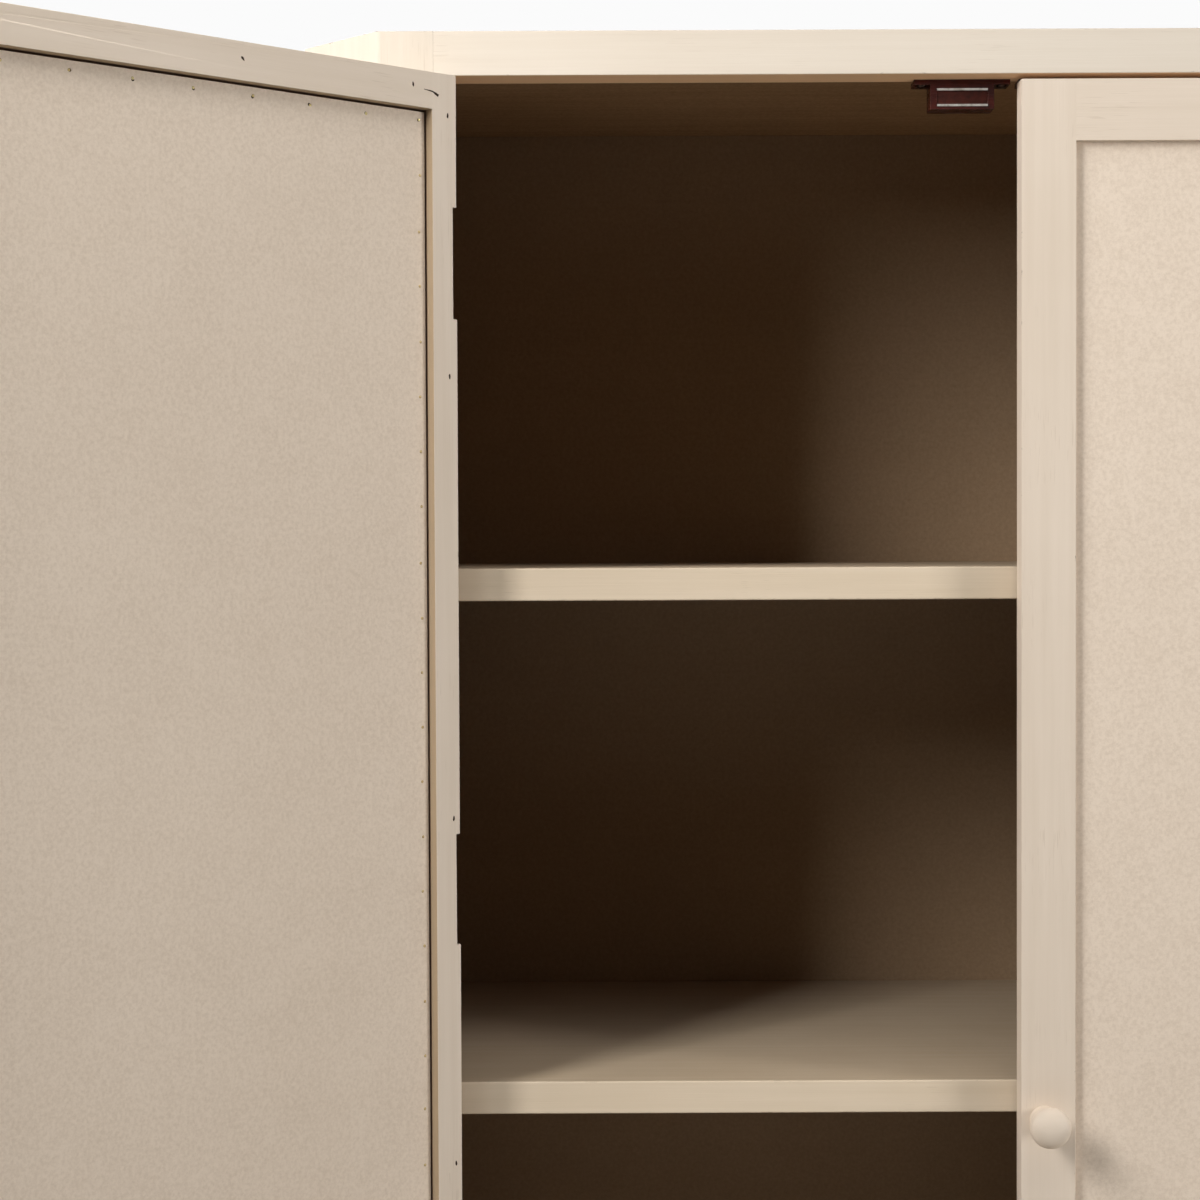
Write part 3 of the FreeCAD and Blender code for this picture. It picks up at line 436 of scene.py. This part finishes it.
def makeCatchPlastic():
    material, tree, shader, place = newFinish("moulded brown plastic")
    marks = placeGroup(tree, scuffs, {"Size": catchPlastic["scuffSize"]}, place)
    highlightReach = {"Amount": catchPlastic["wornAmount"], "Radius": catchPlastic["wornRadius"]}
    edgeMask = placeGroup(tree, edgeWearAndSheen, highlightReach, place)
    spots = ramp(tree, marks["Tone"], *catchPlastic["spots"])
    colour = mixColour(tree, spots, catchPlastic["colour"], catchPlastic["dull"])
    # the moulded edges are made paler: a painted highlight
    pale = calc(tree, "MULTIPLY", edgeMask["Mask"], catchPlastic["wornShare"])
    colour = mixColour(tree, pale, colour, catchPlastic["wornEdge"])
    tree.links.new(colour, shader.inputs["Base Color"])
    setRoughness(tree, shader, marks["Mask"], (0.0, 1.0), catchPlastic["roughness"], catchPlastic["duller"])
    shader.inputs["Specular IOR Level"].default_value = catchPlastic["specular"]
    addBump(tree, shader, marks["Tone"], catchPlastic["bump"], catchPlastic["bumpStrength"])
    return material


upright = (0, math.radians(90), 0)  # turns that lay a board's grain along X
level = (0, 0, 0)
inward = (0, 0, math.radians(90))


finishes = {
    "upright": makeCreamPaint("cream paint upright", upright, below="bareWood"),
    "level": makeCreamPaint("cream paint level", level, below="aged"),
    "inward": makeCreamPaint("cream paint inward", inward, below="bareWood"),
    "shelf": makeCreamPaint("cream paint shelf", level, chips=0.5, trodden=0.85, below="bareWood"),
    "knob": makeCreamPaint("cream paint knob", level),
    "back": makeBareBoard("brown fibre board back", bareBoard["back"], bareBoard["backGrain"]),
    "top": makeBareBoard("brown fibre board top", bareBoard["top"], bareBoard["topGrain"]),
    "hinge": makeMetal("dull hinge steel", srgb(150, 143, 132), srgb(96, 84, 70), 0.38),
    "screw": makeMetal("dull screw steel", srgb(128, 120, 108), srgb(78, 66, 54), 0.42, 0.8 * mm),
    "darkScrew": makeMetal("browned screw steel", srgb(64, 50, 42), srgb(40, 30, 25), 0.45, 0.8 * mm),
    "bright": makeMetal("ground steel", srgb(176, 170, 163), srgb(140, 132, 122), 0.26),
    "ferrite": makeMetal("dark ferrite", srgb(70, 30, 22), srgb(50, 22, 16), 0.5),
    "plastic": makeCatchPlastic(),
    "brad": makeMetal("bare brad", srgb(206, 190, 140), srgb(150, 122, 76), 0.3, 0.6 * mm),
    "paintedBrad": makeMetal("painted brad", srgb(200, 178, 132), srgb(172, 146, 102), 0.5, 0.6 * mm),
    "hole": makeMetal("dark nail hole", srgb(58, 40, 26), srgb(36, 24, 15), 0.8, 0.6 * mm),
}
for key in ("hole", "ferrite", "paintedBrad"):
    shader = finishes[key].node_tree.nodes["Principled BSDF"]
    shader.inputs["Metallic"].default_value = 0.0
    shader.inputs["Specular IOR Level"].default_value = metalLook["plainSpecular"]
for door in doors:
    alongRail = (0, 0, shut[door]["turn"])
    finishes[door + " stile"] = makeCreamPaint("cream paint stile " + door, upright, door=door)
    finishes[door + " rail"] = makeCreamPaint("cream paint rail " + door, alongRail, door=door)
    finishes[door + " panel"] = makePanelPaint(door)
print("finishes made:", len(finishes))


# Which finish each CAD piece takes

def finishOf(name):
    if name == "catch_housings":
        return "plastic"
    if name == "catch_magnets":
        return "ferrite"
    if name == "catch_pole_plates" or name.endswith("strike_plate"):
        return "bright"
    if name.endswith("screws"):
        return "screw"
    if "hinge_leaves" in name or name in ("hinge_case_leaves", "hinge_pins"):
        return "hinge"
    if name.endswith("back_panel"):
        return "back"
    if name == "upper_top_panel":
        return "top"
    if name.endswith("knob"):
        return "knob"
    door = next((door for door in doors if name.startswith(door)), None)
    for part in ("stile", "rail", "panel"):
        if door and part in name:
            return door + " " + part
    if name.endswith(("post", "side")):
        return "upright"
    if "shelf" in name and name != "shelf_bearers" or name.endswith("floor"):
        return "shelf"
    if name == "shelf_bearers":
        return "inward"
    return "level"


softArris = {  # widths of the eased square edges and canted edges, and the shortest edge that is eased
    "post": {"square": 0.2 * mm, "canted": 2.4 * mm, "shortest": 5 * mm},
    "board": {"square": 0.6 * mm, "canted": 0.6 * mm, "shortest": 30 * mm},
    "shelf": {"square": 0.9 * mm, "canted": 0.9 * mm, "shortest": 5 * mm},
    "counter": {"square": 1.6 * mm, "canted": 1.6 * mm, "shortest": 5 * mm},
    "door": {"square": 0.35 * mm, "canted": 0.35 * mm, "shortest": 50 * mm},
    "panel": {"square": 0.4 * mm, "canted": 0.4 * mm, "shortest": 5 * mm},
    "fitting": {"square": 0.35 * mm, "canted": 0.35 * mm, "shortest": 1.5 * mm},
}


edgeTurns = {"least": math.radians(35), "canted": math.radians(50), "square": math.radians(80)}
easedMesh = {"weld": 0.005 * mm, "segments": 3}


def makeEdgeChooser(kind):  # weighs the long edges by their angle, for the bevel that follows
    arris = softArris[kind]
    widest = max(arris["square"], arris["canted"])
    group = bpy.data.node_groups.new(kind + " edges", "GeometryNodeTree")
    group.is_modifier = True
    group.interface.new_socket("Geometry", in_out="INPUT", socket_type="NodeSocketGeometry")
    group.interface.new_socket("Geometry", in_out="OUTPUT", socket_type="NodeSocketGeometry")
    given = addNode(group, "NodeGroupInput").outputs["Geometry"]
    ends = addNode(group, "GeometryNodeInputMeshEdgeVertices").outputs
    length = addNode(group, "ShaderNodeVectorMath", links={0: ends["Position 1"], 1: ends["Position 2"]},
                     operation="DISTANCE").outputs["Value"]
    angle = addNode(group, "GeometryNodeInputMeshEdgeAngle").outputs["Unsigned Angle"]
    share = ramp(group, angle, edgeTurns["canted"], edgeTurns["square"],
                 arris["canted"] / widest, arris["square"] / widest)
    chosen = calc(group, "MULTIPLY", calc(group, "GREATER_THAN", length, arris["shortest"]),
                  calc(group, "GREATER_THAN", angle, edgeTurns["least"]))
    kept = addNode(group, "GeometryNodeStoreNamedAttribute", {"Name": "bevel_weight_edge"},
                   {"Geometry": given, "Value": calc(group, "MULTIPLY", chosen, share)},
                   data_type="FLOAT", domain="EDGE")
    group.links.new(kept.outputs["Geometry"], addNode(group, "NodeGroupOutput").inputs["Geometry"])
    return group


edgeChoosers = {kind: makeEdgeChooser(kind) for kind in softArris}


def easeEdges(piece, kind):
    weld = piece.modifiers.new("one skin", "WELD")
    weld.merge_threshold = easedMesh["weld"]
    piece.modifiers.new("chosen edges", "NODES").node_group = edgeChoosers[kind]
    bevel = piece.modifiers.new("eased arris", "BEVEL")
    bevel.limit_method = "WEIGHT"
    bevel.width = max(softArris[kind]["square"], softArris[kind]["canted"])
    bevel.segments = easedMesh["segments"]
    bevel.use_clamp_overlap = False


def arrisOf(name, finish):  # metal pieces and turned knobs keep their edges
    if name.endswith(("post", "panel")):
        return name.split("_")[-1]
    kinds = {"shelf": "shelf", "plastic": "fitting", "upright": "board", "inward": "board"}
    if finish == "level":
        return "counter" if "counter" in name else "board"
    return "door" if finish.endswith(("stile", "rail")) else kinds.get(finish)


for name, piece in nodes.items():
    finish = finishOf(name)
    piece.data.materials.clear()
    piece.data.materials.append(finishes[finish])
    arris = arrisOf(name, finish)
    if arris:
        easeEdges(piece, arris)
print("CAD pieces finished")


# Small pieces that the CAD model leaves to this file

def newPiece(name, mesh, materials, body):
    data = bpy.data.meshes.new(name)
    mesh.to_mesh(data)
    mesh.free()
    for material in materials:
        data.materials.append(material)
    piece = bpy.data.objects.new(name, data)
    bpy.context.scene.collection.objects.link(piece)
    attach(piece, body)
    return piece


def lathe(mesh, profile, sides, place, material=0):  # turns (radius, height) points about Z
    rings = []
    for radius, height in profile:
        if radius == 0:
            rings.append([mesh.verts.new(place @ Vector((0, 0, height)))])
            continue
        angles = [2 * math.pi * side / sides for side in range(sides)]
        rings.append([mesh.verts.new(place @ Vector((radius * math.cos(a), radius * math.sin(a), height)))
                      for a in angles])
    for inner, outer in zip(rings, rings[1:]):
        for side in range(sides):
            after = (side + 1) % sides
            loop = [inner[side % len(inner)], outer[side % len(outer)], outer[after % len(outer)],
                    inner[after % len(inner)]]
            face = mesh.faces.new(list(dict.fromkeys(loop)))
            face.material_index = material
            face.smooth = True


def scaled(profile, size):  # a head's profile from shares of its radius and height
    return [(radius * size["radius"], height * size["height"]) for radius, height in profile]


def standOn(spot, normal, spin=0.0):  # a frame at a spot whose Z leaves the surface
    turn = Vector(normal).to_track_quat("Z", "Y").to_matrix().to_4x4()
    return Matrix.Translation(spot) @ turn @ Matrix.Rotation(spin, 4, "Z")


def fromShut(door):  # places a point of the shut door where the door rests
    return shut[door]["spin"].transposed().to_4x4()


brads = {"radius": 0.9 * mm, "height": 0.5 * mm, "inset": 5.0 * mm, "sideInset": 4.0 * mm,
         "pitch": 36 * mm, "sidePitch": 32 * mm, "wander": 0.6 * mm, "lean": 0.22, "sides": 12,
         "beside": (0.1, 0.9)}  # how far its painted shadow shows beside a head, in shares of the radius
bradHead = [(0, 1.0), (0.45, 0.92), (0.8, 0.62), (1.0, 0.2), (1.02, -0.1), (0, -0.1)]
bradShadowDisc = [(0, 0.07), (0.7, 0.06), (1.0, 0.02), (1.0, -0.1), (0, -0.1)]


def addBrad(mesh, place, chance):  # a domed head, with a dark disc beside it: a painted shadow of the head
    lean = (Matrix.Rotation(chance.uniform(-1, 1) * brads["lean"], 4, "X")
            @ Matrix.Rotation(chance.uniform(-1, 1) * brads["lean"], 4, "Y"))
    beside = Matrix.Translation((chance.uniform(*brads["beside"]) * brads["radius"], 0, 0))
    lathe(mesh, scaled(bradHead, brads), brads["sides"], place @ lean)
    lathe(mesh, scaled(bradShadowDisc, brads), brads["sides"], place @ beside, material=1)


def spread(low, high, pitch):  # even places from low to high, about a pitch apart
    count = max(1, round((high - low) / pitch))
    return [low + (high - low) * step / count for step in range(count + 1)]


def makeBrads(door):  # the panel is pinned all round from inside
    low, high = shut[door]["low"], shut[door]["high"]
    chance = random.Random(door)
    rows = {"brads": [], "painted_brads": []}
    for z in (low.z + brads["inset"], high.z - brads["inset"]):
        for x in spread(low.x + brads["sideInset"], high.x - brads["sideInset"], brads["pitch"]):
            rows["brads"].append((x, z))
    heights = spread(low.z + brads["inset"], high.z - brads["inset"], brads["sidePitch"])[1:-1]
    for x in (low.x + brads["sideInset"], high.x - brads["sideInset"]):
        rows["painted_brads"] += [(x, z) for z in heights]
    for row, places in rows.items():
        mesh = bmesh.new()
        for x, z in places:
            spot = Vector((x + chance.uniform(-1, 1) * brads["wander"], high.y,
                           z + chance.uniform(-1, 1) * brads["wander"]))
            addBrad(mesh, fromShut(door) @ standOn(spot, (0, 1, 0), chance.uniform(0, 6)), chance)
        bare = row == "brads"
        keys = ("brad", "hole") if bare else ("paintedBrad", door + " panel")
        newPiece(door + "_" + row, mesh, [finishes[key] for key in keys], door)


frameNails = {"proud": 0.04 * mm, "wide": 0.65 * mm, "long": 1.5 * mm, "raggedWide": (0.8, 1.2),
              "raggedLong": (0.8, 1.15), "dish": 0.4, "skirt": 1.12, "sides": 14, "clear": 20 * mm,
              # mm from the hinge edge, mm below the door top, and the lean of the hole
              "spots": [(143.4, 9.2, 0.75), (30.4, 8.5, 0.15), (6, 23.7, 0.05),
                        (5.6, 173.4, 0.0), (4.5, 429.3, -0.1), (4.2, 630.8, 0.1)]}
gouge = {"line": [(22.7, 10.4), (16.6, 11.0), (12.5, 13.1)],  # mm, as the spots of the nails
         "halfWidths": [0.18 * mm, 0.42 * mm, 0.9 * mm], "ragged": (0.75, 1.2), "steps": 8}


def patch(mesh, outline, place):  # a low dished patch on a face
    proud, wider = frameNails["proud"], frameNails["skirt"]
    middle = mesh.verts.new(place @ Vector((0, 0, frameNails["dish"] * proud)))
    rim = [mesh.verts.new(place @ Vector((x, y, proud))) for x, y in outline]
    skirt = [mesh.verts.new(place @ Vector((x * wider, y * wider, -proud))) for x, y in outline]
    for step in range(len(rim)):
        after = (step + 1) % len(rim)
        mesh.faces.new((middle, rim[step], rim[after]))
        mesh.faces.new((rim[step], skirt[step], skirt[after], rim[after]))
    mesh.faces.new(skirt[::-1])


def addGouge(mesh, line, chance, place):  # a bent scratch that widens along its line
    rings = []
    sunk = Vector((0, 0, 2 * frameNails["proud"]))
    for leg, (start, end) in enumerate(zip(line, line[1:])):
        side = Vector((start.y - end.y, end.x - start.x, 0)).normalized()
        for step in range(gouge["steps"] + 1):
            share = step / gouge["steps"]
            half = gouge["halfWidths"][leg] * (1 - share) + gouge["halfWidths"][leg + 1] * share
            spot = start.lerp(end, share) + Vector((0, 0, frameNails["proud"]))
            near, far = [spot + side * half * chance.uniform(*gouge["ragged"]) * way for way in (-1, 1)]
            corners = (near, far, far - sunk, near - sunk)
            rings.append([mesh.verts.new(place @ corner) for corner in corners])
    for ring, following in zip(rings, rings[1:]):
        for corner in range(4):
            after = (corner + 1) % 4
            mesh.faces.new((ring[corner], following[corner], following[after], ring[after]))
    mesh.faces.new(rings[0])
    mesh.faces.new(rings[-1][::-1])


def makeFrameNails(door):  # pins that hold the door's frame, set below the paint
    chance = random.Random(door + " nails")
    hand = 1 if "left" in door else -1
    stile = door + ("_hinge_stile" if door + "_hinge_stile" in nodes else "_stiles")
    places = [shut[door]["spin"] @ corner.co for corner in nodes[stile].data.vertices]
    hinge = (min if hand == 1 else max)(place.x for place in places)
    face = max(place.y for place in places)
    top = max(place.z for place in places)
    bottom = min(place.z for place in places)
    mesh = bmesh.new()
    for along, below, lean in frameNails["spots"]:
        if top - below * mm < bottom + frameNails["clear"]:
            continue
        spot = Vector((hinge + hand * along * mm, face, top - below * mm))
        place = fromShut(door) @ standOn(spot, (0, 1, 0), lean)
        turns = [2 * math.pi * side / frameNails["sides"] for side in range(frameNails["sides"])]
        across, down = frameNails["raggedWide"], frameNails["raggedLong"]
        outline = [(frameNails["wide"] * math.cos(a) * chance.uniform(*across),
                    frameNails["long"] * math.sin(a) * chance.uniform(*down)) for a in turns]
        patch(mesh, outline, place)
    if door == "upper_left_door":
        line = [Vector((hinge + hand * along * mm, face, top - below * mm)) for along, below in gouge["line"]]
        onFace = standOn(line[0], (0, 1, 0))
        addGouge(mesh, [onFace.inverted() @ spot for spot in line], chance, fromShut(door) @ onFace)
    newPiece(door + "_nails", mesh, [finishes["hole"]], door)


for door in doors:
    makeBrads(door)
    makeFrameNails(door)
print("brads and nails made")


slotted = {"headRadius": 2.8 * mm, "headDepth": 1.4 * mm, "shankRadius": 1.4 * mm, "slotWide": 0.75 * mm,
           "slotDeep": 0.7 * mm, "slotEnd": 0.35 * mm, "slotTaper": 0.85, "tip": 0.75, "sides": 20,
           "cadWeld": 0.002 * mm, "weld": 0.001 * mm}
panHead = {"flatRadius": 2.2 * mm, "radius": 3.0 * mm, "height": 1.3 * mm,
           "curve": [(0.92, -0.25), (1.0, -0.7), (1.0, -1.0)]}  # shares of the radius and the height


def screwPlaces(node):  # where each screw of a CAD node sits: its head's middle and the way it points
    mesh = bmesh.new()
    mesh.from_mesh(nodes[node].data)
    bmesh.ops.remove_doubles(mesh, verts=mesh.verts, dist=slotted["cadWeld"])
    left = dict.fromkeys(mesh.verts)  # keeps the order of the corners, so every run gives the same
    places = []
    while left:
        island, edge = [], [left.popitem()[0]]
        while edge:
            corner = edge.pop()
            island.append(corner)
            for link in corner.link_edges:
                other = link.other_vert(corner)
                if other in left:
                    del left[other]
                    edge.append(other)
        spots = [corner.co.copy() for corner in island]
        far = max(((p - q).length, i, j) for i, p in enumerate(spots) for j, q in enumerate(spots[:i]))
        middle = sum(spots, Vector()) / len(spots)
        axis = longAxis((spots[far[1]] - spots[far[2]]).normalized())
        reach = [(spot - middle).dot(axis) for spot in spots]
        wide = max(spots, key=lambda spot: ((spot - middle) - axis * (spot - middle).dot(axis)).length)
        if (wide - middle).dot(axis) < (min(reach) + max(reach)) / 2:
            axis = -axis
            reach = [-value for value in reach]
        onAxis = [spot - axis * (spot - middle).dot(axis) for spot in spots]
        centre = sum(onAxis, Vector()) / len(onAxis)
        places.append((centre + axis * max(reach), axis, max(reach) - min(reach)))
    mesh.free()
    return places


def longAxis(guess):  # screws lie square to the case or to their door, so the nearest such way is right
    ways = [Vector((1, 0, 0)), Vector((0, 1, 0)), Vector((0, 0, 1))]
    spin = shut["upper_left_door"]["spin"].transposed()
    ways += [spin @ way for way in ways[:2]]
    return max(ways, key=lambda way: abs(way.dot(guess)))


def addScrew(mesh, head, axis, length, chance):  # flush heads, and dark pan heads under the catches
    pan = axis.z < -0.9  # only these point down
    metal = 2 if pan else 0
    shank = [(slotted["shankRadius"], -slotted["tip"] * length), (0, -length)]
    if pan:
        head = head + axis * panHead["height"]
        radius = panHead["flatRadius"]
        neck = (slotted["shankRadius"], -panHead["height"])
        body = [(radius, 0)] + scaled(panHead["curve"], panHead) + [neck] + shank
    else:
        radius = slotted["headRadius"]
        body = [(radius, 0), (slotted["shankRadius"], -slotted["headDepth"])] + shank
    place = standOn(head, axis, chance.uniform(0, math.pi))
    sides = slotted["sides"]
    rim = [mesh.verts.new(place @ Vector((radius * math.cos(2 * math.pi * side / sides),
                                          radius * math.sin(2 * math.pi * side / sides), 0)))
           for side in range(sides)]
    reach, half = radius - slotted["slotEnd"], slotted["slotWide"] / 2
    corners = [(-reach, -half), (reach, -half), (reach, half), (-reach, half)]
    mouth = [mesh.verts.new(place @ Vector((x, y, 0))) for x, y in corners]
    taper, deep = slotted["slotTaper"], slotted["slotDeep"]
    floor = [mesh.verts.new(place @ Vector((x * taper, y, -deep))) for x, y in corners]
    edges = [mesh.edges.new((rim[side], rim[(side + 1) % sides])) for side in range(sides)]
    edges += [mesh.edges.new((mouth[side], mouth[(side + 1) % 4])) for side in range(4)]
    filled = bmesh.ops.triangle_fill(mesh, edges=edges, use_beauty=True, normal=axis)["geom"]
    for face in filled:
        if isinstance(face, bmesh.types.BMFace):
            face.material_index = metal
    for side in range(4):
        after = (side + 1) % 4
        mesh.faces.new((mouth[side], mouth[after], floor[after], floor[side])).material_index = 1
    mesh.faces.new(floor).material_index = 1
    lathe(mesh, body, sides, place, metal)


def makeScrews(node, body):
    mesh = bmesh.new()
    chance = random.Random(node)
    for head, axis, length in screwPlaces(node):
        addScrew(mesh, head, axis, length, chance)
    bmesh.ops.remove_doubles(mesh, verts=mesh.verts, dist=slotted["weld"])
    bmesh.ops.recalc_face_normals(mesh, faces=mesh.faces)
    metals = [finishes[key] for key in ("screw", "hole", "darkScrew")]
    piece = newPiece("slotted_" + node, mesh, metals, body)
    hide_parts(node)


makeScrews("case_screws", "case")
for door in doors:
    makeScrews(door + "_screws", door)
print("slotted screws made")


backNails = {"radius": 2.1 * mm, "height": 0.5 * mm, "inset": 9 * mm, "pitch": 92 * mm, "wander": 1.5,
             "sides": 14}  # the wander in mm
backNailHead = [(0, 0.9), (0.6, 1.0), (0.92, 0.8), (1.0, 0.4), (1.0, -0.4), (0, -0.4)]


def makeBackNails(node, name):  # flat headed nails round the edge of a back
    low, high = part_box(node)
    chance = random.Random(name)
    inset, pitch, wander = backNails["inset"], backNails["pitch"], backNails["wander"]
    spots = []
    for z in (low.z + inset, high.z - inset):
        spots += [(x, z) for x in spread(low.x + inset, high.x - inset, pitch)]
    heights = spread(low.z + inset, high.z - inset, pitch)[1:-1]
    for x in (low.x + inset, high.x - inset):
        spots += [(x, z) for z in heights]
    mesh = bmesh.new()
    for x, z in spots:
        spot = Vector((x + chance.uniform(-wander, wander) * mm, high.y,
                       z + chance.uniform(-wander, wander) * mm))
        lathe(mesh, scaled(backNailHead, backNails), backNails["sides"], standOn(spot, (0, 1, 0)))
    newPiece(name, mesh, [finishes["screw"]], "case")


makeBackNails("upper_back_panel", "upper_back_nails")
makeBackNails("lower_back_panel", "lower_back_nails")
print("back nails made")


# Room, lamps and camera

stage = {"size": 16.0, "floor": srgb(164, 163, 160), "glow": 0.56, "white": 0.965, "ambient": 0.004,
         "nearBy": 1.0, "farOff": 6.0}  # between these distances the floor's glow rises to white


def seenDirectly(tree):  # 1 for the camera, reflections and clear pieces, 0 for light on the object
    path = addNode(tree, "ShaderNodeLightPath").outputs
    either = calc(tree, "MAXIMUM", path["Is Camera Ray"], path["Is Glossy Ray"])
    return calc(tree, "MAXIMUM", either, path["Is Transmission Ray"])


def makeFloor():
    bpy.ops.mesh.primitive_plane_add(size=stage["size"])
    floor = bpy.context.object
    floor.name = "floor"
    material = bpy.data.materials.new("pale floor")
    material.use_nodes = True
    tree = material.node_tree
    tree.nodes.clear()
    matt = addNode(tree, "ShaderNodeBsdfDiffuse", {"Color": stage["floor"]})
    place = addNode(tree, "ShaderNodeTexCoord").outputs["Object"]
    away = addNode(tree, "ShaderNodeVectorMath", links={0: place}, operation="LENGTH").outputs["Value"]
    rising = ramp(tree, away, stage["nearBy"], stage["farOff"], stage["glow"], stage["white"])
    shown = calc(tree, "MULTIPLY", seenDirectly(tree), rising)
    glow = addNode(tree, "ShaderNodeEmission", links={"Strength": shown})
    both = addNode(tree, "ShaderNodeAddShader", links={0: matt.outputs[0], 1: glow.outputs[0]})
    tree.links.new(both.outputs[0], addNode(tree, "ShaderNodeOutputMaterial").inputs["Surface"])
    floor.data.materials.append(material)


def makeWorld():
    world = bpy.data.worlds.new("studio")
    bpy.context.scene.world = world
    world.use_nodes = True
    tree = world.node_tree
    tree.nodes.clear()
    dim = addNode(tree, "ShaderNodeBackground", {"Strength": stage["ambient"]})
    white = addNode(tree, "ShaderNodeBackground", {"Strength": stage["white"]})
    dim.inputs["Color"].default_value = (1, 1, 1, 1)
    white.inputs["Color"].default_value = (1, 1, 1, 1)
    mixed = addNode(tree, "ShaderNodeMixShader",
                    links={0: seenDirectly(tree), 1: dim.outputs[0], 2: white.outputs[0]})
    tree.links.new(mixed.outputs[0], addNode(tree, "ShaderNodeOutputWorld").inputs["Surface"])


lampTarget = Vector((-0.25, -0.10, 1.55))
lamps = {  # azimuth from straight in front, to the right; level 1 lights white as white
    "key": {"azimuth": -42, "elevation": 27, "distance": 1.6, "size": (0.34, 0.75), "level": 0.63},
    "window": {"azimuth": -58, "elevation": 32, "distance": 1.7, "size": (0.6, 0.5), "level": 0.6},
    "fill": {"azimuth": 66, "elevation": 5, "distance": 2.3, "size": (0.5, 1.0), "level": 0.49},
    "high": {"azimuth": 28, "elevation": 62, "distance": 2.1, "size": (1.6, 1.2), "level": 0.26},
    "low": {"azimuth": -10, "elevation": -42, "distance": 1.5, "size": (1.0, 0.5), "level": 0.06},
    "behindLeft": {"azimuth": -150, "elevation": 28, "distance": 3.4, "size": (1.8, 1.8), "level": 0.7},
    "behindRight": {"azimuth": 130, "elevation": 24, "distance": 3.4, "size": (1.8, 1.8), "level": 0.7},
}


def makeLamp(name, lamp):
    turn, rise = math.radians(lamp["azimuth"]), math.radians(lamp["elevation"])
    toLamp = Vector((math.sin(turn) * math.cos(rise), -math.cos(turn) * math.cos(rise), math.sin(rise)))
    data = bpy.data.lights.new(name, "AREA")
    data.shape = "RECTANGLE"
    data.size, data.size_y = lamp["size"]
    data.energy = lamp["level"] * math.pi ** 2 * lamp["distance"] ** 2
    piece = bpy.data.objects.new(name, data)
    bpy.context.scene.collection.objects.link(piece)
    piece.location = lampTarget + toLamp * lamp["distance"]
    piece.visible_camera = False
    piece.rotation_euler = toLamp.to_track_quat("Z", "Y").to_euler()


view = {"spot": (-0.2465, -1.452, 1.5921), "pitch": -1.469, "turn": 0.0, "roll": -0.25, "lens": 69.0,
        "sensor": 36.0}  # metres, degrees and millimetres


def makeCamera():
    data = bpy.data.cameras.new("camera")
    data.lens, data.sensor_width = view["lens"], view["sensor"]
    camera = bpy.data.objects.new("camera", data)
    bpy.context.scene.collection.objects.link(camera)
    aim = (Matrix.Rotation(math.radians(view["turn"]), 4, "Z")
           @ Matrix.Rotation(math.radians(90 + view["pitch"]), 4, "X")
           @ Matrix.Rotation(math.radians(view["roll"]), 4, "Z"))
    camera.matrix_world = Matrix.Translation(view["spot"]) @ aim
    bpy.context.scene.camera = camera


makeFloor()
makeWorld()
for name, lamp in lamps.items():
    makeLamp(name, lamp)
makeCamera()
bpy.context.scene.view_settings.view_transform = "Standard"
print("room, lamps and camera set")
